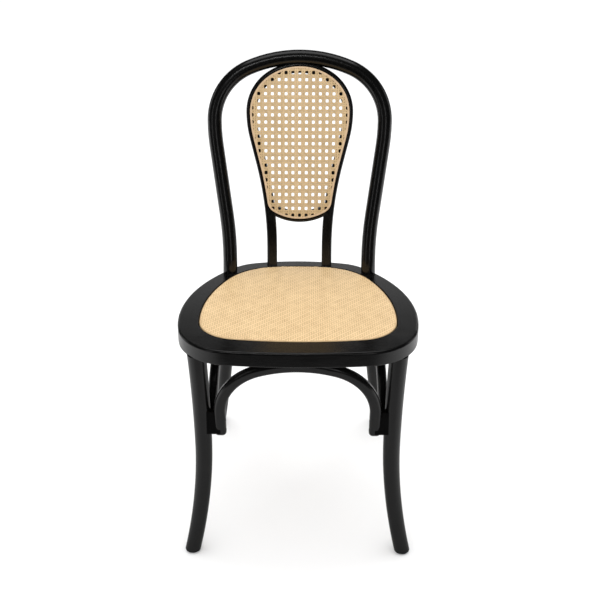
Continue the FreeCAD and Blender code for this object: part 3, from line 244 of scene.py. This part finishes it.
rod_black = black_wood("black_lacquer_rod", UPRIGHT_GRAIN)
rail_black = black_wood("black_lacquer_rail", CROSSWISE_GRAIN)
brace_black = black_wood("black_lacquer_brace", LENGTHWISE_GRAIN)
cane_back = cane_material("cane_back", (0.63, 0.455, 0.250, 1), (0.45, 0.318, 0.165, 1), 0.42, 0.42)
cane_seat = cane_material("cane_seat", (0.94, 0.72, 0.43, 1), (0.72, 0.52, 0.28, 1), 0.50, 0.60)
reed = plain_grained("reed", (0.62, 0.45, 0.28, 1), (0.48, 0.33, 0.19, 1), (300, 300, 60), 0.5)
plywood = plain_grained("birch_plywood", (0.66, 0.47, 0.28, 1), (0.50, 0.33, 0.18, 1), (30, 300, 900), 0.6)
beech = plain_grained("beech", (0.62, 0.42, 0.25, 1), (0.50, 0.32, 0.18, 1), (30, 300, 300), 0.55)
steel = plain_grained("blackened_steel", (0.022, 0.022, 0.023, 1), grey(0.012), (500, 500, 500), 0.42, 1.0)
plastic = plain_grained("glide_plastic", (0.020, 0.020, 0.021, 1), (0.012, 0.012, 0.013, 1),
                        (260, 260, 260), 0.5)
packing_painted_shade = painted_shade_black("black_stain_painted_shade")

DRESSED = (
    (rod_black, ["front_leg_right", "front_leg_left", "back_bow", "back_loop"]),
    (rail_black, ["front_arch", "seat_front_rail", "back_panel_rail"]),
    (brace_black, ["side_arch_right", "side_arch_left", "seat_bow"]),
    # Packings are dressed darker to paint the shade between leg and arch limb
    (packing_painted_shade, ["front_arch_packings"]),
    (steel, ["arch_leg_screws", "arch_ring_screws", "seat_board_screws", "loop_screws", "rear_leg_bolts",
             "rear_leg_washers"]),
    (plastic, [name for name in nodes if name.startswith("foot_glide")]),
    (reed, ["back_cane_spline"]),
    (plywood, ["seat_board"]),
    (beech, ["panel_rail_dowels"]),
    (cane_back, ["back_cane"]),
    (cane_seat, ["seat_cane_cover"]),
)
for material, names in DRESSED:
    for name in names:
        dress(name, material)


# Shapes shared by both weaves


def polar(angle, length):
    return Vector((math.cos(math.radians(angle)), math.sin(math.radians(angle)))) * length


def heading(vector):
    return math.degrees(math.atan2(vector.y, vector.x))


def closed_outline(arcs, steps):
    """Points along arcs up the right side, and the same mirrored down the left side."""
    half = []
    for centre, radius, start, stop in arcs:
        for step in range(steps + 1):
            half.append(centre + polar(start + (stop - start) * step / steps, radius))
    return half + [Vector((-point.x, point.y)) for point in reversed(half)]


def crossings(outline, height):
    """Where a closed outline crosses a level line."""
    found = []
    for a, b in zip(outline, outline[1:] + outline[:1]):
        if (a.y > height) != (b.y > height):
            found.append(a.x + (b.x - a.x) * (height - a.y) / (b.y - a.y))
    return found


def inside(outline, point):
    """Whether a point lies within a closed outline."""
    beyond = [x for x in crossings(outline, point.y) if point.x < x]
    return len(beyond) % 2 == 1


def new_piece(name, points, faces):
    mesh = bpy.data.meshes.new(name)
    mesh.from_pydata(points, [], faces)
    piece = bpy.data.objects.new(name, mesh)
    bpy.context.scene.collection.objects.link(piece)
    return piece


def woven_piece(name, points, faces, shades, material):
    """Smooth mesh that carries a strand's shade on each of its points."""
    piece = new_piece(name, points, faces)
    mesh = piece.data
    mesh.validate()
    attribute = mesh.attributes.new("strand", "FLOAT", "POINT")
    attribute.data.foreach_set("value", shades)
    mesh.polygons.foreach_set("use_smooth", [True] * len(mesh.polygons))
    mesh.materials.append(material)
    return piece


# Woven back: strands on the caned panel, in the inner bow's own plane

LOOP = {
    "width": 20.5, "depth": 19.0, "lean": 8.98, "y": 189.0,
    "seat_x": 56.8, "widest": 96.9, "side_lean": 13.9,
    "side": 724.0, "shoulder": 206.3, "corner": 83.0, "top": 106.5, "straight": 38.2,
    "sill": 89.9, "sill_radius": 110.0, "sill_corner": 34.0,
}
LEAN = Matrix.Rotation(math.radians(-LOOP["lean"]), 3, "X")

# Holes from middle to middle, and how far the sheet is drawn up between its ends
PITCH_X = 13.6
PITCH_Z = 14.31
ROW_SHIFT = 5.05
STRETCH = 3.7
STRETCH_MIDDLE = 269.8
STRETCH_HALF = 121.6

# Strands: each of a pair from the pair's middle, widths, thickness, rise over each other, length of a step
WEAVE_INSET = 9.6
WEAVE_MIDDLE = 250.0
PAIR_OFFSET = 2.05
PAIR_WIDTH = 3.6
DIAGONAL_WIDTH = 2.8
STRAND_THICKNESS = 0.38
STRAND_LIFT = 0.34
STRAND_STEP = 2.2
STRAND_STEPS = 150

# Section of a strand: share of its width aside, share of its thickness up, share of its shade, which is 0 at
# the edges and underneath to paint shade there
STRAND_SECTION = [
    (-0.5, 0.0, 0.0), (-0.3, 0.85, 1.0), (0.0, 1.0, 1.0),
    (0.3, 0.85, 1.0), (0.5, 0.0, 0.0), (0.0, -0.15, 0.0),
]


def panel_outline(inset):
    """Points round the panel, inset from the inner bow's outer edge."""
    out = LOOP["width"] / 2 - inset
    slope = math.radians(LOOP["side_lean"])
    side_centre = Vector((LOOP["seat_x"] + LOOP["side"], LOOP["straight"]))
    lower = side_centre + polar(180 - LOOP["side_lean"], LOOP["side"] - out)
    climb = LOOP["widest"] - LOOP["seat_x"] - (LOOP["side"] + LOOP["shoulder"]) * (1 - math.cos(slope))
    upper = lower + polar(90 - LOOP["side_lean"], climb / math.sin(slope))
    shoulder = upper - polar(-LOOP["side_lean"], LOOP["shoulder"] + out)
    corner = shoulder + Vector((LOOP["shoulder"] - LOOP["corner"], 0))
    over = math.degrees(math.acos((LOOP["widest"] - LOOP["corner"]) / (LOOP["top"] - LOOP["corner"])))
    top = corner - polar(over, LOOP["top"] - LOOP["corner"])
    below = Vector((0, LOOP["sill"] + LOOP["sill_radius"]))
    reach = LOOP["side"] - LOOP["width"] / 2 + LOOP["sill_corner"]
    near = LOOP["sill_radius"] - LOOP["sill_corner"]
    gap = side_centre - below
    along = (near**2 - reach**2 + gap.length**2) / (2 * gap.length)
    rise = math.sqrt(near**2 - along**2)
    unit = gap.normalized()
    turn = below + unit * along + Vector((unit.y, -unit.x)) * rise
    down = heading(turn - below)
    outwards = heading(side_centre - turn)
    return closed_outline([
        (below, LOOP["sill_radius"] - inset, -90, down),
        (turn, LOOP["sill_corner"] - inset, down, outwards),
        (side_centre, LOOP["side"] - out, outwards + 180, 180 - LOOP["side_lean"]),
        (shoulder, LOOP["shoulder"] + out, -LOOP["side_lean"], 0),
        (corner, LOOP["corner"] + out, 0, over),
        (top, LOOP["top"] + out, over, 90),
    ], 16)


def on_panel(x, up, out):
    """Point at x and up on the panel's front face, standing out of it, in metres."""
    local = Vector((x, -LOOP["depth"] / 2 - out, up))
    placed = LEAN @ local
    return (placed + Vector((0, LOOP["y"] + DATUM_Y, SEAT_Z))) * MM


def stretched(up):
    """Height of a point of the even weave once the sheet is drawn into its groove."""
    share = (up - STRETCH_MIDDLE) / STRETCH_HALF
    return up + STRETCH * max(0.0, 1.0 - share * share)


class Strands:
    """Woven strands gathered in one mesh, with a shade for each."""

    def __init__(self):
        self.points = []
        self.faces = []
        self.shades = []

    def lay(self, centres, across, width, shade):
        """One strand along centre points; across is its flat direction in the weave's plane."""
        if len(centres) < 2:
            return
        first = len(self.points)
        for x, up, out in centres:
            for side, lift, tone in STRAND_SECTION:
                self.points.append(on_panel(x + across.x * side * width,
                                            stretched(up + across.y * side * width),
                                            out + lift * STRAND_THICKNESS))
                # A share of 0 paints shade along the strand's edges and underside
                self.shades.append(shade * tone)
        ring = len(STRAND_SECTION)
        for row in range(len(centres) - 1):
            for place in range(ring):
                a = first + row * ring + place
                b = first + row * ring + (place + 1) % ring
                self.faces.append((a, b, b + ring, a + ring))


def diagonal_start(edge, up, slope):
    """A point within the panel on the diagonal that meets the middle line at height up."""
    middle = Vector((0, up))
    if inside(edge, middle):
        return middle
    for shift in range(-8, 9):
        other = middle + Vector((shift * PITCH_X, shift * slope * PITCH_Z))
        if inside(edge, other):
            return other
    return None


def woven_back():
    """Six-way cane: upright and level pairs, and two sets of diagonals that leave eight-sided holes."""
    rng = random.Random(11)
    weave = Strands()
    edge = panel_outline(WEAVE_INSET)

    def run(start, direction, out, width):
        """Strand through start both ways, as long as it stays within the panel."""
        centres = []
        for step in range(-STRAND_STEPS, STRAND_STEPS + 1):
            point = start + direction * (step * STRAND_STEP)
            if inside(edge, point):
                centres.append((point.x, point.y, out(point)))
            elif centres:
                break
        across = Vector((-direction.y, direction.x)).normalized()
        weave.lay(centres, across, width, rng.uniform(0.45, 1.0))

    def upright_wave(sign):
        return lambda p: STRAND_LIFT * (0.75 + 0.5 * sign * math.sin(math.tau * (p.y - ROW_SHIFT) / PITCH_Z))

    def level_wave(sign):
        return lambda p: STRAND_LIFT * (0.75 + 0.5 * sign * math.sin(math.tau * p.x / PITCH_X))

    def slanted_wave(slope):
        return lambda p: STRAND_LIFT * (0.8 + 0.95 * slope * -math.cos(math.tau * p.x / PITCH_X))

    for column in range(-9, 9):
        for side in (-1, 1):
            x = (column + 0.5) * PITCH_X + side * PAIR_OFFSET
            run(Vector((x, WEAVE_MIDDLE)), Vector((0, 1)), upright_wave(side), PAIR_WIDTH)
    for row in range(5, 29):
        for side in (-1, 1):
            up = ROW_SHIFT + (row + 0.5) * PITCH_Z + side * PAIR_OFFSET
            run(Vector((0, up)), Vector((1, 0)), level_wave(side), PAIR_WIDTH)
    for slope in (-1, 1):
        direction = Vector((1, slope * PITCH_Z / PITCH_X)).normalized()
        for count in range(-2, 42):
            start = diagonal_start(edge, ROW_SHIFT + (count + 0.5) * PITCH_Z, slope)
            if start is not None:
                run(start, direction, slanted_wave(slope), DIAGONAL_WIDTH)
    return woven_piece("cane_weave_back", weave.points, weave.faces, weave.shades, cane_back)


back_weave = woven_back()
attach(back_weave, "root")
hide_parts("back_cane")


# Woven seat: a close two-by-two twill, as a height field over the panel

WELL = {
    "half": 185.6, "widest": -56.0, "front": -160.0, "rear": 176.0,
    "radii": (802.0, 77.0, 352.0, 118.0, 459.0),
}
TWILL_INSET = 1.95
TWILL_PITCH = 4.15
TWILL_RELIEF = 0.42
TWILL_PROUD = 0.2
TWILL_REACH = 190
TWILL_REACH_FRONT = 175
STRANDS_EACH_SIDE = 200
# The warp is painted far darker than the weft, as painted shade that draws the twill's diagonal lines
WARP_SHADES = (0.40, 0.54)
WEFT_SHADES = (0.86, 1.0)

# Shares of the relief where a strand runs on over its neighbour, dips under it, and leaves a pit, and the
# share of a strand's shade kept where it dips, which paints shade into the dips
FLOAT_HEIGHT = 0.95
DIP_HEIGHT = 0.1
PIT_HEIGHT = -0.35
DIP_PAINTED_SHADE = 0.72

# The twill turns down into the groove over this width, by this much
TURN_WIDTH = 3.0
TURN_EASE = 0.001
TURN_DROP = 1.4


def seat_outline(inset):
    """Points round the seat's panel, inset from the ring's opening."""
    front_r, corner_r, side_r, rear_corner_r, rear_r = [radius - inset for radius in WELL["radii"]]
    front = Vector((0, WELL["front"] + inset + front_r))
    side = Vector((WELL["half"] - inset - side_r, WELL["widest"]))
    rear = Vector((0, WELL["rear"] - inset - rear_r))

    def touching(a, a_reach, b, b_reach, sign):
        gap = b - a
        along = (a_reach**2 - b_reach**2 + gap.length**2) / (2 * gap.length)
        rise = math.sqrt(a_reach**2 - along**2)
        unit = gap.normalized()
        options = [a + unit * along + Vector((-unit.y, unit.x)) * rise * s for s in (-1, 1)]
        return max(options, key=lambda p: p.x + sign * p.y)

    corner = touching(front, front_r - corner_r, side, side_r - corner_r, -1)
    rear_corner = touching(rear, rear_r - rear_corner_r, side, side_r - rear_corner_r, 1)
    first = heading(corner - front)
    second = heading(corner - side)
    third = heading(rear_corner - side)
    fourth = heading(rear_corner - rear)
    return closed_outline([
        (front, front_r, -90, first),
        (corner, corner_r, first, second),
        (side, side_r, second, third),
        (rear_corner, rear_corner_r, third, fourth),
        (rear, rear_r, fourth, 90),
    ], 24)


def woven_seat():
    """Twill strands over the panel's top, turned down into the groove round it."""
    rng = random.Random(5)
    half = TWILL_PITCH / 2
    columns = 2 * int(TWILL_REACH / TWILL_PITCH)
    rows_low = -2 * int(TWILL_REACH_FRONT / TWILL_PITCH)
    rows_high = 2 * int(TWILL_REACH / TWILL_PITCH)
    warp = {}
    weft = {}
    for strand in range(-STRANDS_EACH_SIDE, STRANDS_EACH_SIDE + 1):
        warp[strand] = rng.uniform(*WARP_SHADES)
        weft[strand] = rng.uniform(*WEFT_SHADES)
    edge = seat_outline(TWILL_INSET)
    top = SEAT_Z + TWILL_PROUD - TWILL_RELIEF * 0.5

    def on_top(column, row):
        return (column - row) % 4 < 2

    def woven(i, j):
        """Height and shade at a point, with painted shade in the dips and a shade of 0, painted shade, in
        the pits; odd numbers lie on a strand's middle, even ones between two.
        """
        column = (i - 1) // 2
        row = (j - 1) // 2
        on_warp = i % 2 == 1
        on_weft = j % 2 == 1
        if on_warp and on_weft:
            return 1.0, warp[column] if on_top(column, row) else weft[row]
        if on_warp:
            runs_on = on_top(column, row) and on_top(column, row + 1)
            shade = warp[column]
        elif on_weft:
            runs_on = not on_top(column, row) and not on_top(column + 1, row)
            shade = weft[row]
        else:
            # A pit between strands gets a shade of 0, painted shade
            return PIT_HEIGHT, 0.0
        return (FLOAT_HEIGHT, shade) if runs_on else (DIP_HEIGHT, shade * DIP_PAINTED_SHADE)

    index = {}
    points = []
    shades = []
    for j in range(rows_low, rows_high + 1):
        ends = crossings(edge, j * half)
        if not ends:
            continue
        span = max(ends)
        for i in range(-columns, columns + 1):
            if abs(i * half) > span + half:
                continue
            height, shade = woven(i, j)
            x = max(-span, min(span, i * half))
            margin = min(1.0, (span - abs(x)) / TURN_WIDTH + TURN_EASE)
            z = top + TWILL_RELIEF * height - TURN_DROP * (1 - margin) ** 2
            index[i, j] = len(points)
            points.append((x * MM, (j * half + DATUM_Y) * MM, z * MM))
            shades.append(shade)
    faces = []
    for (i, j), place in index.items():
        others = [index.get((i + 1, j)), index.get((i + 1, j + 1)), index.get((i, j + 1))]
        if None not in others:
            faces.append((place, *others))
    return woven_piece("cane_weave_seat", points, faces, shades, cane_seat)


seat_weave = woven_seat()
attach(seat_weave, "root")


# Floor, backdrop, lights and camera

FLOOR_REACH = 12.0
FLOOR_COUNT = 24

# Name, place, target, width, height and power of each lamp
LAMPS = (
    ("overhead", (0.0, 0.35, 2.6), (0, 0.1, 0.4), 2.0, 1.2, 15),
    ("left_strip", (-1.55, -1.55, 1.05), (0, 0.1, 0.7), 0.30, 1.2, 1.9),
    ("right_strip", (0.78, -2.25, 1.10), (0, 0.1, 0.7), 0.26, 1.1, 2.6),
    ("front_strip", (-0.45, -2.3, 2.5), (0, -0.1, 0.4), 1.3, 0.10, 9),
    ("left_panel", (-2.3, 0.9, 1.0), (0, 0, 0.5), 1.0, 1.6, 5),
    ("right_panel", (2.3, 0.9, 1.0), (0, 0, 0.5), 1.0, 1.6, 5),
    ("back_panel", (0.0, 3.6, 1.55), (0, 0, 0.45), 4.6, 1.1, 14),
)

# Brightness of the surroundings as seen directly, as light on the chair, and in the lacquer's gloss
SEEN_STRENGTH = 1.0
AMBIENT_STRENGTH = 1.20
MIRRORED_STRENGTH = 0.03

# Camera: picture width, focal length and shift in pixels, angles in degrees
SENSOR_WIDTH = 36.0
PICTURE_WIDTH = 600.0
FOCAL_LENGTH = 992.0
SHIFT_UP = 3.4
YAW = -0.40
PITCH = 25.85
ROLL = 0.12
EYE_ASIDE = 2.9
EYE_BACK = 1720.0
EYE_HEIGHT = 1287.0


def floor_material():
    """Pale paper; to mirror rays only it is painted darker in the middle and black in front, a painted
    reflection in the lacquer's gloss.
    """
    material, tree, shader = new_material("studio_floor")
    grain = noise(tree, object_place(tree, EVEN), 3.0, 2.0)
    paper = ramp(tree, grain, 0.0, 1.0, (0.862, 0.864, 0.867, 1), (0.872, 0.874, 0.877, 1))
    place = add(tree, "ShaderNodeTexCoord").outputs["Object"]
    parts = add(tree, "ShaderNodeSeparateXYZ")
    link(tree, place, parts.inputs["Vector"])
    aside = add(tree, "ShaderNodeMath", operation="ABSOLUTE")
    link(tree, parts.outputs["X"], aside.inputs[0])
    # Painted reflection: darker towards the middle across, and black in front
    across = ramp(tree, remap(tree, aside.outputs["Value"], 0.35, 1.1), 0.0, 1.0, grey(0.42), grey(0.95))
    mirrored = mix(tree, remap(tree, parts.outputs["Y"], -1.00, -0.90), grey(0.0), across)
    path = add(tree, "ShaderNodeLightPath")
    link(tree, mix(tree, path.outputs["Is Glossy Ray"], paper, mirrored), shader.inputs["Base Color"])
    shader.inputs["Roughness"].default_value = 0.9
    shader.inputs["Specular IOR Level"].default_value = 0.0
    return material


def floor():
    points = []
    faces = []
    step = 2 * FLOOR_REACH / FLOOR_COUNT
    for row in range(FLOOR_COUNT + 1):
        for column in range(FLOOR_COUNT + 1):
            points.append((-FLOOR_REACH + column * step, -FLOOR_REACH + row * step, 0.0))
    for row in range(FLOOR_COUNT):
        for column in range(FLOOR_COUNT):
            a = row * (FLOOR_COUNT + 1) + column
            faces.append((a, a + 1, a + FLOOR_COUNT + 2, a + FLOOR_COUNT + 1))
    piece = new_piece("floor", points, faces)
    piece.data.materials.append(floor_material())


def area_light(name, place, target, width, height, power):
    data = bpy.data.lights.new(name, "AREA")
    data.shape = "RECTANGLE"
    data.size = width
    data.size_y = height
    data.energy = power
    lamp = bpy.data.objects.new(name, data)
    bpy.context.scene.collection.objects.link(lamp)
    lamp.location = place
    direction = Vector(target) - Vector(place)
    lamp.rotation_euler = direction.to_track_quat("-Z", "Y").to_euler()


def background(tree, strength):
    node = add(tree, "ShaderNodeBackground")
    node.inputs["Color"].default_value = grey(1)
    node.inputs["Strength"].default_value = strength
    return node.outputs["Background"]


def either(tree, test, otherwise, chosen):
    """One shader where the test is 0 and the other where it is 1."""
    node = add(tree, "ShaderNodeMixShader")
    link(tree, test, node.inputs["Fac"])
    link(tree, otherwise, node.inputs[1])
    link(tree, chosen, node.inputs[2])
    return node.outputs["Shader"]


def world():
    studio = bpy.data.worlds.new("studio")
    bpy.context.scene.world = studio
    studio.use_nodes = True
    tree = studio.node_tree
    tree.nodes.clear()
    path = add(tree, "ShaderNodeLightPath")
    unseen = either(tree, path.outputs["Is Glossy Ray"], background(tree, AMBIENT_STRENGTH),
                    background(tree, MIRRORED_STRENGTH))
    surround = either(tree, path.outputs["Is Camera Ray"], unseen, background(tree, SEEN_STRENGTH))
    output = add(tree, "ShaderNodeOutputWorld")
    link(tree, surround, output.inputs["Surface"])


def camera():
    data = bpy.data.cameras.new("camera")
    data.sensor_width = SENSOR_WIDTH
    data.lens = FOCAL_LENGTH / PICTURE_WIDTH * SENSOR_WIDTH
    data.shift_y = SHIFT_UP / PICTURE_WIDTH
    data.clip_end = 100.0
    eye = bpy.data.objects.new("camera", data)
    bpy.context.scene.collection.objects.link(eye)
    yaw = math.radians(YAW)
    pitch = math.radians(PITCH)
    roll = math.radians(ROLL)
    x = EYE_ASIDE * math.cos(yaw) - EYE_BACK * math.sin(yaw)
    y = -EYE_ASIDE * math.sin(yaw) - EYE_BACK * math.cos(yaw)
    eye.location = Vector((x, y + DATUM_Y, EYE_HEIGHT)) * MM
    ahead = Vector((math.sin(yaw) * math.cos(pitch), math.cos(yaw) * math.cos(pitch), -math.sin(pitch)))
    right = Vector((math.cos(yaw), -math.sin(yaw), 0))
    up = right.cross(ahead)
    turned_right = right * math.cos(roll) + up * math.sin(roll)
    turned_up = up * math.cos(roll) - right * math.sin(roll)
    axes = Matrix((turned_right, turned_up, -ahead)).transposed()
    eye.rotation_euler = axes.to_euler()
    bpy.context.scene.camera = eye


floor()
world()
for lamp in LAMPS:
    area_light(*lamp)
camera()
bpy.context.scene.view_settings.view_transform = "Standard"
